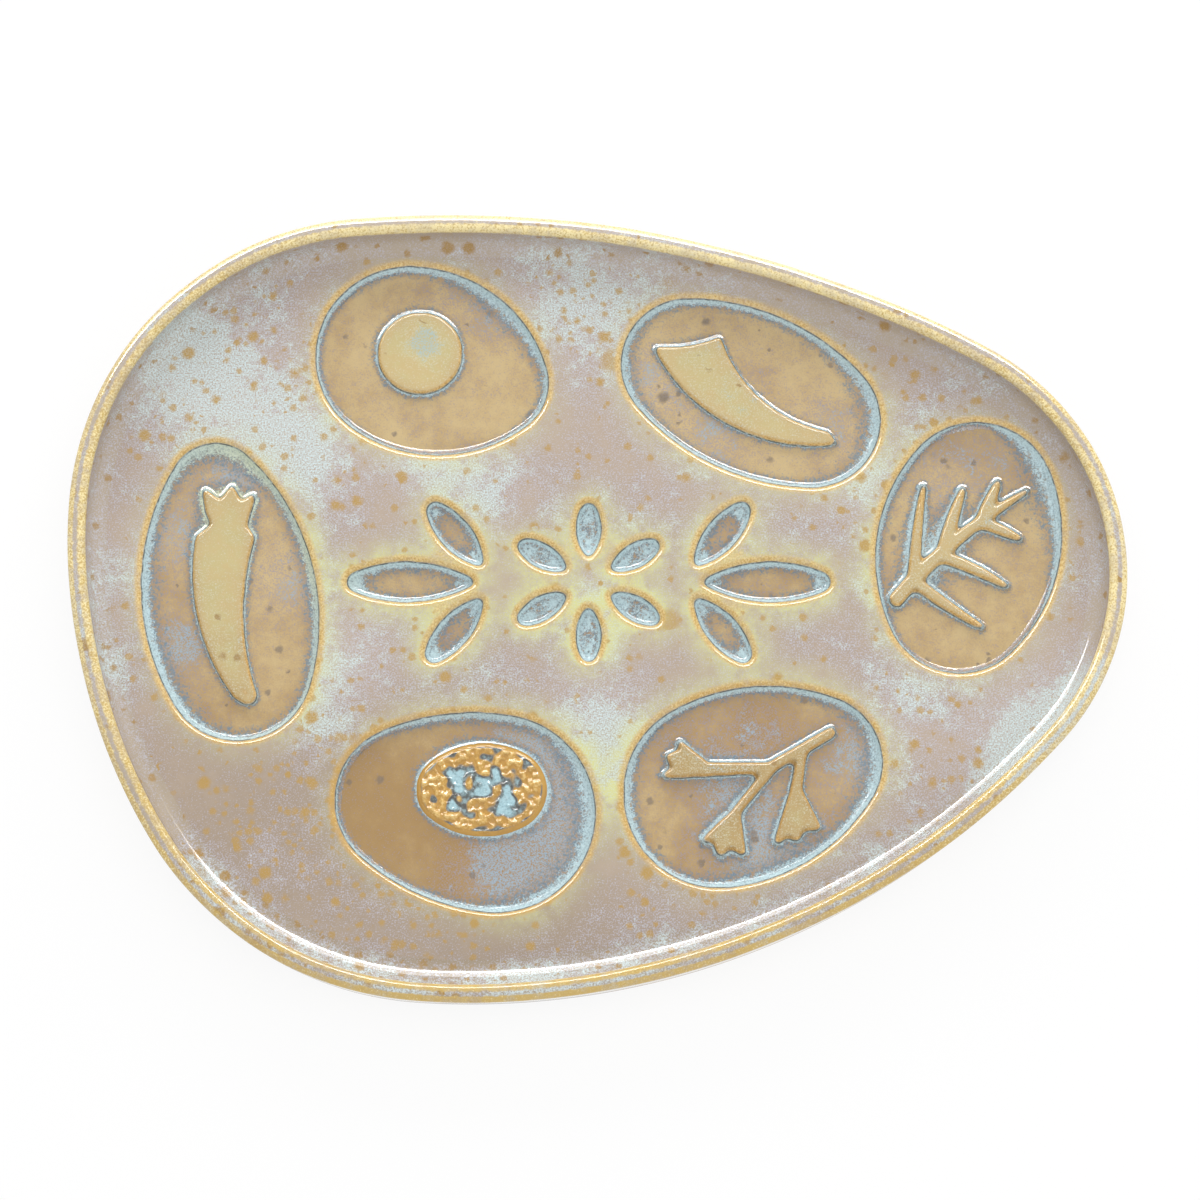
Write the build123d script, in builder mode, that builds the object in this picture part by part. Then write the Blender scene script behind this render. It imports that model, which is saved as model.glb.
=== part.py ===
"""Slab-built seder plate: an egg-shaped tray with six food wells and a palmette ornament."""
import os
from math import atan2, cos, degrees, pi, radians, sin, sqrt

from build123d import *

os.makedirs("parts", exist_ok=True)

# Driving dimensions in millimetres, X along the long side, Z up, the underside of the foot at zero.
PLATE_LENGTH = 354.0
PLATE_WIDTH = 268.1

# The plan below is drawn for a plate of this size, and follows the plate when that is made larger or smaller.
DRAWN_LENGTH = 354.0
DRAWN_WIDTH = 268.1

# The lip's outer edge is a chain of tangent arcs through these points, an odd number of them.
RIM_DRAWN = [
    (154.1, -47.3), (132.3, 87), (-82, 132.7), (-176.9, 33.2), (-145.4, -82.6), (-59.7, -133.4), (68.8, -109.6),
]

# Levels of the clay, from the table up.
FOOT_HEIGHT = 2.5
BASE_THICKNESS = 4.5
RELIEF_THICKNESS = 3.0
RIM_HEIGHT = 11.0
SPRIG_HEIGHT = 2.4

# The rim wall's section: a lip with broken edges, a rounded cove down to the floor and a slight outward lean.
LIP_WIDTH = 6.0
LIP_BEVEL = 1.6
COVE_RADIUS = 5.8
WALL_LEAN = 0.8
LUTE_GAP = 0.15
BASE_BEVEL = 1.8

# The foot ring's coil under the slab.
FOOT_INSET = 24.0
FOOT_WIDTH = 8.0
FOOT_BEVEL = 1.0

# Wells: middle, direction of the second end, then length, first end, second end and side radius.
EGG_WELL = ((-55.9, 84.4), 161.5, (81.5, 19.5, 32.0, 50.0))
BONE_WELL = ((52.1, 74.4), 154.5, (93.0, 24.0, 23.5, 79.5))
LEAF_WELL = ((125.1, 20.4), 258.5, (88.0, 26.5, 25.0, 59.0))
ROOT_WELL = ((-123.9, 5.4), 278.5, (103.5, 16.0, 25.0, 81.0))
CHAROSET_WELL = ((-43.9, -68.6), 351.0, (87.5, 25.5, 33.5, 77.0))
HERB_WELL = ((52.1, -59.6), 198.5, (88.5, 23.0, 32.0, 65.0))
WELL_DRAFT = 28.0
EDGE_BEVEL = 0.6

# Ornament: petals pressed around a rosette and fanned out of a palmette on either side.
BAND_CENTER = (-2.9, 8.4)
ROSETTE_PETALS = 6
ROSETTE_CORE = 8.0
ROSETTE_PETAL = (20.0, 1.8, 3.2, 16.0)
PALMETTE_REACH = 31.0
PALMETTE_SPREAD = 50.0
PALMETTE_LONG = (44.0, 2.0, 4.0, 46.0)
PALMETTE_SHORT = (29.0, 2.0, 3.6, 26.0)
PALMETTE_START = 7.0

# Sprigs: the little clay pictures lying in the wells, each drawn from the middle of its well.
SPRIG_BEVEL = 0.5
SPRIG_CORNER = 0.8
YOLK_OFFSET = (-4.5, 4.0)
YOLK_RADIUS = 14.4
YOLK_RING = 4.0
YOLK_DISH = 0.8
BONE_JOINT = ((-33, 16.5), (-22, 16.5), (-10, 20))
BONE_INSIDE = ((-10, 20), (3.5, -2), (26, -13.5))
BONE_TIP = ((26, -13.5), (30, -18))
BONE_OUTSIDE = ((30, -18), (-2.5, -13.5), (-33, 16.5))
ROOT_CROWN = [
    (-11.5, 19), (-6.5, 23), (-8.5, 27.5), (-10, 36.5), (-3.5, 31.5),
    (0.5, 37.5), (3.5, 31), (9, 35), (5.5, 22.5), (8.5, 19),
]
ROOT_RIGHT = ((8.5, 19), (5, -7), (10.5, -36.5))
ROOT_TIP = [(10.5, -36.5), (7.5, -39.5), (2.5, -36.5)]
ROOT_LEFT = ((2.5, -36.5), (-8.5, -15.5), (-11.5, 19))
RIB_POINTS = [(-26, -19.5), (-3.5, 3), (21, 20)]
RIB_WIDTHS = (5.0, 4.2, 1.8)
VEIN_POINTS = [
    [(-18.5, -11), (-17.5, 1.5), (-14.5, 22)],
    [(-8.5, -1), (-4, 13), (-1, 21)],
    [(4.5, 8.5), (8.5, 18), (11, 23.5)],
    [(-18, -12), (-8, -19.5), (5, -28)],
    [(-9, -3), (3, -8), (13.5, -14)],
    [(4, 9), (11.5, 6), (18.5, 2.5)],
]
VEIN_WIDTHS = (4.2, 3.6, 1.8)
LEFT_TUFT = [(9, 6.5), (-15, 6.5), (-26.5, 16), (-24.5, 11), (-30, 9), (-27, 5), (-33, 1), (4, 3)]
MIDDLE_TUFT = [
    (4.5, 5.5), (-7.5, -9.5), (-20.5, -22), (-14, -19.5), (-11.5, -26),
    (-8, -22), (-2.5, -26), (-4.5, -10.5), (8.5, 5),
]
RIGHT_TUFT = [
    (14.5, 9), (12, -3), (5.5, -23), (11.5, -18), (14.5, -21),
    (16.5, -16), (23, -16.5), (16, -2.5), (18, 11),
]
STEM_MIDDLE = (16, 11)
STEM_ANGLE = 30.0
STEM_LENGTH = 26.0
STEM_WIDTH = 3.6
MOUND_OFFSET = (5.4, 6.5)
MOUND_SIZES = (43.0, 11.8, 13.8, 28.8)
MOUND_HEIGHT = 1.4
CRUMB_PITCH = 5.0
CRUMB_RADIUS = 1.9
CRUMB_SPREAD = 0.3
CRUMB_SHIFT = 0.15
CRUMB_HEIGHT = 1.2
CRUMB_TAPER = 20.0
CRUMB_MARGIN = 3.0
CRUMB_SIDES = (5, 6, 7)
PIT_EVERY = 5

base_z = FOOT_HEIGHT
seat_z = base_z + BASE_THICKNESS
floor_z = seat_z + RELIEF_THICKNESS
rim_z = floor_z + RIM_HEIGHT
rim_foot = LIP_WIDTH + COVE_RADIUS

# How far the rim's outline and the floor inside it are from the drawn size, along and across.
rim_stretch = (PLATE_LENGTH / DRAWN_LENGTH, PLATE_WIDTH / DRAWN_WIDTH)
floor_stretch = (
    (PLATE_LENGTH - 2 * rim_foot) / (DRAWN_LENGTH - 2 * rim_foot),
    (PLATE_WIDTH - 2 * rim_foot) / (DRAWN_WIDTH - 2 * rim_foot),
)
fit = min(floor_stretch)

# Direction of the rim at its first point, the one for which the last arc runs into the first smoothly.
rim_starts = [(x * rim_stretch[0], y * rim_stretch[1]) for x, y in RIM_DRAWN]
rim_ends = rim_starts[1:] + rim_starts[:1]
turn = 0.0
for start, end in zip(rim_starts, rim_ends):
    turn = 2 * atan2(end[1] - start[1], end[0] - start[0]) - turn
first_chord = atan2(rim_ends[0][1] - rim_starts[0][1], rim_ends[0][0] - rim_starts[0][0])
rim_heading = turn / 2 if cos(turn / 2 - first_chord) > 0 else turn / 2 + pi


def rim_loop():
    """Draws the lip's outer edge anticlockwise."""
    heading = Vector(cos(rim_heading), sin(rim_heading))
    for start, end in zip(rim_starts, rim_ends):
        arc = TangentArc(start, end, tangent=heading)
        heading = arc % 1


def egg_loop(length, first_r, second_r, side_r):
    """Draws an egg lying along X about its middle: two end arcs joined by two long side arcs."""
    first_x = first_r - length / 2
    second_x = length / 2 - second_r
    apart = second_x - first_x
    to_first = side_r - first_r
    to_second = side_r - second_r
    along = (to_first**2 - to_second**2 + apart**2) / (2 * apart)
    side_x = first_x + along
    side_y = sqrt(to_first**2 - along**2)
    second_turn = degrees(atan2(side_y, second_x - side_x))
    first_turn = degrees(atan2(side_y, first_x - side_x))
    CenterArc((second_x, 0), second_r, -second_turn, 2 * second_turn)
    CenterArc((side_x, -side_y), side_r, second_turn, first_turn - second_turn)
    CenterArc((first_x, 0), first_r, first_turn, 360 - 2 * first_turn)
    CenterArc((side_x, side_y), side_r, -first_turn, first_turn - second_turn)


def laid(middle, angle, height):
    """Gives the level plane at a height, at a place drawn on the floor, whose X points along the angle."""
    place = (middle[0] * floor_stretch[0], middle[1] * floor_stretch[1], height)
    return Plane(place, x_dir=(cos(radians(angle)), sin(radians(angle)), 0))


def vein_loop(points, widths):
    """Draws the outline of a bent vein anticlockwise, through three points with its width at each."""
    start, bend, end = (Vector(*point) for point in points)
    half_across = (end - start).normalized().rotate(Axis.Z, 90) / 2
    left_side = [place + half_across * width for place, width in zip((start, bend, end), widths)]
    right_side = [place - half_across * width for place, width in zip((start, bend, end), widths)]
    ThreePointArc(*right_side)
    Line(right_side[-1], left_side[-1])
    ThreePointArc(*reversed(left_side))
    Line(left_side[0], right_side[0])


# Plane across the rim at its first point: X inward, Y up.
rim_section = Plane(
    (*rim_starts[0], 0),
    x_dir=(-sin(rim_heading), cos(rim_heading), 0),
    z_dir=(cos(rim_heading), sin(rim_heading), 0),
)

# Base slab: the plain sheet of clay under everything, its lower edge bevelled by hand.
with BuildPart() as base_slab:
    with BuildSketch(Plane.XY.offset(base_z)):
        with BuildLine():
            rim_loop()
        make_face()
        offset(amount=-WALL_LEAN, mode=Mode.REPLACE)
    extrude(amount=BASE_THICKNESS)
    chamfer(base_slab.faces().sort_by(Axis.Z)[0].edges(), length=BASE_BEVEL)
base_slab.part.label = "base_slab"
export_step(base_slab.part, "parts/base_slab.step")

# Foot ring: a flattened coil luted under the slab, the face the plate rests on.
with BuildPart() as foot_ring:
    with BuildLine() as foot_path:
        rim_loop()
    with BuildSketch(rim_section):
        with Locations((FOOT_INSET + FOOT_WIDTH / 2, FOOT_HEIGHT / 2)):
            foot_shape = Rectangle(FOOT_WIDTH, FOOT_HEIGHT)
        chamfer(foot_shape.vertices().group_by(Axis.Y)[0], length=FOOT_BEVEL)
    sweep(path=foot_path.wires()[0])
foot_ring.part.label = "foot_ring"
export_step(foot_ring.part, "parts/foot_ring.step")

# Rim wall: a strip standing on the edge of the base slab, coved on the inside.
with BuildPart() as rim_wall:
    with BuildLine() as rim_path:
        rim_loop()
    with BuildSketch(rim_section):
        with BuildLine():
            Polyline((rim_foot, floor_z), (rim_foot, seat_z), (WALL_LEAN, seat_z), (0, rim_z))
            Polyline((0, rim_z), (LIP_WIDTH, rim_z), (LIP_WIDTH, floor_z + COVE_RADIUS))
            CenterArc((rim_foot, floor_z + COVE_RADIUS), COVE_RADIUS, 180, 90)
        rim_shape = make_face()
        chamfer(rim_shape.vertices().group_by(Axis.Y)[-1], length=LIP_BEVEL)
    sweep(path=rim_path.wires()[0])
rim_wall.part.label = "rim_wall"
export_step(rim_wall.part, "parts/rim_wall.step")

# Relief slab: the thin sheet laid inside the rim, with the wells and the ornament cut through it.
wells = [EGG_WELL, BONE_WELL, LEAF_WELL, ROOT_WELL, CHAROSET_WELL, HERB_WELL]
petals = []
for index in range(ROSETTE_PETALS):
    angle = 90 + 360 / ROSETTE_PETALS * index
    reach = ROSETTE_CORE + ROSETTE_PETAL[0] / 2
    middle = (BAND_CENTER[0] + reach * cos(radians(angle)), BAND_CENTER[1] + reach * sin(radians(angle)))
    petals.append((middle, angle, ROSETTE_PETAL))
for facing in (0, 180):
    root = BAND_CENTER[0] + PALMETTE_REACH * cos(radians(facing))
    fan = [(0, PALMETTE_LONG), (PALMETTE_SPREAD, PALMETTE_SHORT), (-PALMETTE_SPREAD, PALMETTE_SHORT)]
    for lean, petal in fan:
        angle = facing + lean
        reach = PALMETTE_START + petal[0] / 2
        middle = (root + reach * cos(radians(angle)), BAND_CENTER[1] + reach * sin(radians(angle)))
        petals.append((middle, angle, petal))

with BuildPart() as relief_slab:
    with BuildSketch(Plane.XY.offset(seat_z)):
        with BuildLine():
            rim_loop()
        make_face()
        offset(amount=-rim_foot - LUTE_GAP, mode=Mode.REPLACE)
    extrude(amount=RELIEF_THICKNESS)
    for middle, angle, sizes in wells + petals:
        with BuildSketch(laid(middle, angle, floor_z)):
            with BuildLine():
                egg_loop(*sizes)
            make_face()
            scale(by=fit)
        extrude(amount=-RELIEF_THICKNESS, taper=WELL_DRAFT, mode=Mode.SUBTRACT)
    cut_wires = relief_slab.faces().sort_by(Axis.Z)[-1].inner_wires()
    for wire in cut_wires.sort_by(SortBy.LENGTH)[-len(wells):]:
        chamfer(wire.edges(), length=EDGE_BEVEL)
relief_slab.part.label = "relief_slab"
export_step(relief_slab.part, "parts/relief_slab.step")

# Egg sprig: a yolk disc with a raised ring and a dished middle.
yolk_place = laid((EGG_WELL[0][0] + YOLK_OFFSET[0], EGG_WELL[0][1] + YOLK_OFFSET[1]), 0, seat_z)
yolk_radius = YOLK_RADIUS * fit
dish_radius = yolk_radius - YOLK_RING
with BuildPart() as egg_yolk:
    with BuildSketch(Plane(yolk_place.origin, x_dir=(1, 0, 0), z_dir=(0, -1, 0))):
        with BuildLine():
            Polyline((0, SPRIG_HEIGHT - YOLK_DISH), (0, 0), (yolk_radius, 0))
            Line((yolk_radius, 0), (yolk_radius, SPRIG_HEIGHT - SPRIG_BEVEL))
            Line((yolk_radius, SPRIG_HEIGHT - SPRIG_BEVEL), (yolk_radius - SPRIG_BEVEL, SPRIG_HEIGHT))
            Line((yolk_radius - SPRIG_BEVEL, SPRIG_HEIGHT), (dish_radius, SPRIG_HEIGHT))
            Line((dish_radius, SPRIG_HEIGHT), (0, SPRIG_HEIGHT - YOLK_DISH))
        make_face()
    revolve(axis=Axis(yolk_place.origin, (0, 0, 1)))
egg_yolk.part.label = "egg_yolk"
export_step(egg_yolk.part, "parts/egg_yolk.step")

# Bone sprig: a shank bone, broad at the joint and drawn out to a blunt end.
with BuildPart() as shank_bone:
    with BuildSketch(laid(BONE_WELL[0], 0, seat_z)) as bone_shape:
        with BuildLine():
            ThreePointArc(*BONE_JOINT)
            ThreePointArc(*BONE_INSIDE)
            Line(*BONE_TIP)
            ThreePointArc(*BONE_OUTSIDE)
        make_face()
        scale(by=fit)
        fillet(bone_shape.vertices(), radius=SPRIG_CORNER)
    extrude(amount=SPRIG_HEIGHT)
    chamfer(shank_bone.faces().sort_by(Axis.Z)[-1].edges(), length=SPRIG_BEVEL)
shank_bone.part.label = "shank_bone"
export_step(shank_bone.part, "parts/shank_bone.step")

# Root sprig: a horseradish root with a cut crown of leaf stalks.
with BuildPart() as bitter_root:
    with BuildSketch(laid(ROOT_WELL[0], 0, seat_z)) as root_shape:
        with BuildLine():
            Polyline(*ROOT_CROWN)
            ThreePointArc(*ROOT_RIGHT)
            Polyline(*ROOT_TIP)
            ThreePointArc(*ROOT_LEFT)
        make_face()
        scale(by=fit)
        fillet(root_shape.vertices(), radius=SPRIG_CORNER)
    extrude(amount=SPRIG_HEIGHT)
    chamfer(bitter_root.faces().sort_by(Axis.Z)[-1].edges(), length=SPRIG_BEVEL)
bitter_root.part.label = "bitter_root"
export_step(bitter_root.part, "parts/bitter_root.step")

# Leaf sprig: a lettuce leaf drawn by its midrib and three veins on either side, all drawn out to points.
leaf_lines = [(RIB_POINTS, RIB_WIDTHS)] + [(points, VEIN_WIDTHS) for points in VEIN_POINTS]
vein_steps = [(seat_z, SPRIG_HEIGHT - SPRIG_BEVEL, 0), (seat_z + SPRIG_HEIGHT - SPRIG_BEVEL, SPRIG_BEVEL, 45)]
with BuildPart() as lettuce_leaf:
    for points, widths in leaf_lines:
        for level, rise, taper in vein_steps:
            with BuildSketch(laid(LEAF_WELL[0], 0, level)):
                with BuildLine():
                    vein_loop(points, widths)
                make_face()
                scale(by=fit)
            extrude(amount=rise, taper=taper)
lettuce_leaf.part.label = "lettuce_leaf"
export_step(lettuce_leaf.part, "parts/lettuce_leaf.step")

# Herb sprig: a stem with three flared tufts of parsley.
with BuildPart() as parsley_sprig:
    with BuildSketch(laid(HERB_WELL[0], 0, seat_z)) as herb_shape:
        for tuft in (LEFT_TUFT, MIDDLE_TUFT, RIGHT_TUFT):
            Polygon(*tuft, align=None)
        with Locations(STEM_MIDDLE):
            Rectangle(STEM_LENGTH, STEM_WIDTH, rotation=STEM_ANGLE)
        scale(by=fit)
        fillet(herb_shape.vertices(), radius=SPRIG_CORNER)
    extrude(amount=SPRIG_HEIGHT)
    chamfer(parsley_sprig.faces().sort_by(Axis.Z)[-1].edges(), length=SPRIG_BEVEL)
parsley_sprig.part.label = "parsley_sprig"
export_step(parsley_sprig.part, "parts/parsley_sprig.step")

# Charoset sprig: a low egg-shaped mound.
mound_middle = (CHAROSET_WELL[0][0] + MOUND_OFFSET[0], CHAROSET_WELL[0][1] + MOUND_OFFSET[1])
with BuildPart() as charoset_mound:
    with BuildSketch(laid(mound_middle, 0, seat_z)):
        with BuildLine():
            egg_loop(*MOUND_SIZES)
        make_face()
        scale(by=fit)
    extrude(amount=MOUND_HEIGHT)
    chamfer(charoset_mound.faces().sort_by(Axis.Z)[-1].edges(), length=SPRIG_BEVEL)
charoset_mound.part.label = "charoset_mound"
export_step(charoset_mound.part, "parts/charoset_mound.step")

# Crumbs on the mound: chopped-nut lumps in staggered rows over its top, with pits left between them.
mound_top = charoset_mound.faces().sort_by(Axis.Z)[-1].bounding_box().size / 2
crumb_reach = (mound_top.X - CRUMB_MARGIN * fit, mound_top.Y - CRUMB_MARGIN * fit)
crumb_step = CRUMB_PITCH * fit
crumb_rows = range(-int(crumb_reach[0] / crumb_step), int(crumb_reach[0] / crumb_step) + 1)
crumb_places = []
for row in crumb_rows:
    for column in crumb_rows:
        place = (crumb_step * (column + row % 2 / 2), crumb_step * row * sqrt(0.75))
        if (place[0] / crumb_reach[0]) ** 2 + (place[1] / crumb_reach[1]) ** 2 < 1:
            crumb_places.append(place)

with BuildPart() as charoset_crumbs:
    for index, (x, y) in enumerate(crumb_places):
        if index % PIT_EVERY == PIT_EVERY - 1:
            continue
        shift = CRUMB_SHIFT * fit
        around = radians(137.5 * index)
        radius = fit * (CRUMB_RADIUS + CRUMB_SPREAD * (index % 3) / 2)
        with BuildSketch(laid(mound_middle, 0, seat_z + MOUND_HEIGHT)):
            with Locations((x + shift * cos(around), y + shift * sin(around))):
                RegularPolygon(radius, CRUMB_SIDES[index % len(CRUMB_SIDES)], rotation=40 * index)
        extrude(amount=CRUMB_HEIGHT, taper=CRUMB_TAPER)
charoset_crumbs.part.label = "charoset_crumbs"
export_step(charoset_crumbs.part, "parts/charoset_crumbs.step")
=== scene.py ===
from math import atan2, ceil, cos, erf, pi, radians, sin, sqrt

import bmesh
import bpy
import numpy as np
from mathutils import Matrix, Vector, noise
from mathutils.bvhtree import BVHTree


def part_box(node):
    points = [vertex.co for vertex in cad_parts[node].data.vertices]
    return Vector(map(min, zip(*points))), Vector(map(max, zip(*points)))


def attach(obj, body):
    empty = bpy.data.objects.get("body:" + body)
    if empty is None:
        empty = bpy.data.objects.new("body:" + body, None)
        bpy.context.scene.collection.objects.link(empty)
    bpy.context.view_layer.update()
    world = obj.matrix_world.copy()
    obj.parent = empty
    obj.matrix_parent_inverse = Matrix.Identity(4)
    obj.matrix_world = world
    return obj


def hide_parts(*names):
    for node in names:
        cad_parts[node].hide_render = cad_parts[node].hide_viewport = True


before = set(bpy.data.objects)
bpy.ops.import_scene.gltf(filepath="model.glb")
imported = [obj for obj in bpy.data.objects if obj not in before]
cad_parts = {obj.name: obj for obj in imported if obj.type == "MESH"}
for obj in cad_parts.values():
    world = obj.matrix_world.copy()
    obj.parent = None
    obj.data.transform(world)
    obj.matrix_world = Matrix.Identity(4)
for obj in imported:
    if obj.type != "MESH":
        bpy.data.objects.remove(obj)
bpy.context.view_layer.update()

# Foot ring: a coil of stoneware luted under the plate and pressed flat, the only
# part of the plate that touches the table. It is wiped clean of glaze before the
# firing, so the toasted clay shows, with its dark grit and the marks of the sponge.
rim_points = [
    (154.1, -47.3), (132.3, 87), (-82, 132.7), (-176.9, 33.2), (-145.4, -82.6), (-59.7, -133.4),
    (68.8, -109.6),
]
half_long, half_wide = 177, 134
foot_section = [
    (24.4, 2.5), (24.1, 1.9), (24.2, 1.1), (24.7, 0.45), (25.7, 0.08), (27.0, 0.0), (29.2, 0.0),
    (30.4, 0.1), (31.3, 0.45), (31.8, 1.1), (31.9, 1.9), (31.6, 2.5),
]


def rim_arcs():
    """Gives the centre, start, heading and turn of each arc of the rim's outline, anticlockwise."""
    ends = rim_points[1:] + rim_points[:1]
    chords = [atan2(e[1] - s[1], e[0] - s[0]) for s, e in zip(rim_points, ends)]
    turn = 0.0
    for chord in chords:
        turn = 2 * chord - turn
    heading = turn / 2 if cos(turn / 2 - chords[0]) > 0 else turn / 2 + pi
    arcs = []
    for start, end, chord in zip(rim_points, ends, chords):
        lean = (chord - heading + pi) % (2 * pi) - pi
        radius = (Vector(end) - Vector(start)).length / (2 * sin(lean))
        centre = Vector((start[0] - radius * sin(heading), start[1] + radius * cos(heading), 0))
        arcs.append((centre, Vector((*start, 0)), heading, 2 * lean, radius))
        heading += 2 * lean
    return arcs


def inward(place):
    """Gives the level direction from a place on the rim towards the middle of the plate."""
    return -Vector((place.x / half_long**2, place.y / half_wide**2, 0)).normalized()


def drawn_round(section, stride, closed=True, layers=None):
    """Draws a section, given as inset and height, once round the rim's outline."""
    bm = bmesh.new()
    marks = {name: bm.verts.layers.float.new(name) for name in layers or {}}
    arcs = rim_arcs()
    _, start, heading, _, _ = arcs[0]
    across = Vector((-sin(heading), cos(heading), 0))
    verts = [bm.verts.new(start + across * inset + Vector((0, 0, height))) for inset, height in section]
    for name, values in (layers or {}).items():
        for vert, value in zip(verts, values):
            vert[marks[name]] = value
    pairs = list(zip(verts, verts[1:])) + ([(verts[-1], verts[0])] if closed else [])
    geom = verts + [bm.edges.new(pair) for pair in pairs]
    for centre, start, heading, turn, radius in arcs:
        steps = ceil(turn * radius / stride)
        spun = bmesh.ops.spin(bm, geom=geom, cent=centre, axis=(0, 0, 1), angle=turn, steps=steps)
        geom = spun["geom_last"]
    bmesh.ops.remove_doubles(bm, verts=bm.verts, dist=0.02)
    if bm.faces:
        bmesh.ops.recalc_face_normals(bm, faces=bm.faces)
    for edge in bm.edges:
        edge.smooth = edge.calc_face_angle(0.0) < radians(50)
    return bm


def fired(bm, name, *materials):
    """Turns a shape worked in millimetres into an object in metres, smooth all over."""
    bmesh.ops.scale(bm, vec=(0.001, 0.001, 0.001), verts=bm.verts)
    mesh = bpy.data.meshes.new(name)
    bm.to_mesh(mesh)
    bm.free()
    mesh.polygons.foreach_set("use_smooth", [True] * len(mesh.polygons))
    for material in materials:
        mesh.materials.append(material)
    piece = bpy.data.objects.new(name, mesh)
    bpy.context.scene.collection.objects.link(piece)
    return piece


def tint(red, green, blue):
    """Gives a colour written as it looks on screen, 0 to 255, in the renderer's own values."""
    shares = [channel / 255 for channel in (red, green, blue)]
    return (*[s / 12.92 if s <= 0.04045 else ((s + 0.055) / 1.055) ** 2.4 for s in shares], 1)


def add(tree, kind, inputs=None, **settings):
    """Places a node in a tree, sets it, and joins what is given to its sockets."""
    node = tree.nodes.new(kind)
    for key, value in settings.items():
        setattr(node, key, value)
    for key, value in (inputs or {}).items():
        if isinstance(value, bpy.types.NodeSocket):
            tree.links.new(value, node.inputs[key])
        else:
            node.inputs[key].default_value = value
    return node


def ramp(tree, value, low, high, bottom=0.0, top=1.0):
    """Gives a value spread smoothly from one range to another."""
    inputs = {"Value": value, "From Min": low, "From Max": high, "To Min": bottom, "To Max": top}
    return add(tree, "ShaderNodeMapRange", inputs, interpolation_type="SMOOTHSTEP").outputs["Result"]


def sums(tree, operation, first, second):
    """Gives one sum of two values."""
    return add(tree, "ShaderNodeMath", {0: first, 1: second}, operation=operation).outputs[0]


def blend(tree, share, first, second):
    """Gives a colour between two others."""
    inputs = {"Factor": share, "A": first, "B": second}
    return add(tree, "ShaderNodeMix", inputs, data_type="RGBA").outputs["Result"]


def cloud(tree, scale, detail=3.0, rough=0.55, shift=0.0):
    """Gives a cloudy value over the piece, with spots about a metre divided by the scale across."""
    place = add(tree, "ShaderNodeTexCoord").outputs["Object"]
    inputs = {"Vector": place, "Location": (shift, shift * 0.7, -shift)}
    moved = add(tree, "ShaderNodeMapping", inputs).outputs["Vector"]
    inputs = {"Vector": moved, "Scale": scale, "Detail": detail, "Roughness": rough}
    return add(tree, "ShaderNodeTexNoise", inputs).outputs["Fac"]


def vectors(tree, operation, inputs):
    """Gives one sum of vectors."""
    return add(tree, "ShaderNodeVectorMath", inputs, operation=operation).outputs["Vector"]


def new_group(name, inputs, outputs):
    """Starts a node group with its sockets, and gives the tree with its two ends."""
    tree = bpy.data.node_groups.new(name, "ShaderNodeTree")
    for label, kind in inputs.items():
        tree.interface.new_socket(label, in_out="INPUT", socket_type="NodeSocket" + kind)
    for label, kind in outputs.items():
        tree.interface.new_socket(label, in_out="OUTPUT", socket_type="NodeSocket" + kind)
    return tree, tree.nodes.new("NodeGroupInput").outputs, tree.nodes.new("NodeGroupOutput").inputs


# Iron specks, which bleed out of the clay into bare clay and glaze alike.
specks, taken, given = new_group(
    "iron_specks", {"Spacing": "Float", "Size": "Float", "Share": "Float"}, {"Mask": "Float"}
)
place = add(specks, "ShaderNodeTexCoord").outputs["Object"]
inputs = {"Vector": place, "Scale": 700.0, "Detail": 2.0}
wander = add(specks, "ShaderNodeTexNoise", inputs).outputs["Color"]
shaken = vectors(specks, "SUBTRACT", {0: wander, 1: (0.5, 0.5, 0.5)})
shaken = vectors(specks, "SCALE", {0: shaken, "Scale": 0.0016})
place = vectors(specks, "ADD", {0: place, 1: shaken})
cells = add(specks, "ShaderNodeTexVoronoi", {"Vector": place, "Scale": taken["Spacing"], "Randomness": 1.0})
draw = add(specks, "ShaderNodeSeparateColor", {"Color": cells.outputs["Color"]}).outputs
reach = sums(specks, "MULTIPLY", taken["Size"], ramp(specks, draw["Green"], 0.0, 1.0, 0.35, 1.0))
soft = sums(specks, "DIVIDE", cells.outputs["Distance"], reach)
there = sums(specks, "LESS_THAN", draw["Red"], taken["Share"])
specks.links.new(sums(specks, "MULTIPLY", ramp(specks, soft, 1.0, 0.45), there), given["Mask"])

bare_clay = bpy.data.materials.new("bare_clay")
bare_clay.use_nodes = True
tree = bare_clay.node_tree
shader = tree.nodes["Principled BSDF"]
toast = blend(tree, ramp(tree, cloud(tree, 30), 0.35, 0.65), tint(196, 164, 122), tint(172, 132, 92))
grit = add(tree, "ShaderNodeGroup", {}, node_tree=specks)
grit.inputs["Spacing"].default_value = 420
grit.inputs["Size"].default_value = 0.3
grit.inputs["Share"].default_value = 0.4
toast = blend(tree, grit.outputs["Mask"], toast, tint(108, 78, 54))
tree.links.new(toast, shader.inputs["Base Color"])
tree.links.new(ramp(tree, cloud(tree, 900), 0.3, 0.7, 0.72, 0.9), shader.inputs["Roughness"])
grain = add(tree, "ShaderNodeBump", {"Height": cloud(tree, 1300, 4), "Strength": 0.35, "Distance": 0.0002})
tree.links.new(grain.outputs["Normal"], shader.inputs["Normal"])

foot_coil = fired(drawn_round(foot_section, 2.5), "foot_coil", bare_clay)
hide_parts("foot_ring")
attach(foot_coil, "root")

# Base slab: the rolled sheet of stoneware under everything, cut to the egg outline.
# Its top is the floor of the wells, where the glaze runs together, pools blue at the
# foot of every wall and climbs it a little; its lower edge is bevelled by hand.
seat = 7.0
floor = 10.0
pitch = 0.4
low_x, low_y, count_x, count_y = -180.0, -136.0, 901, 681
climb = 0.35

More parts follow.
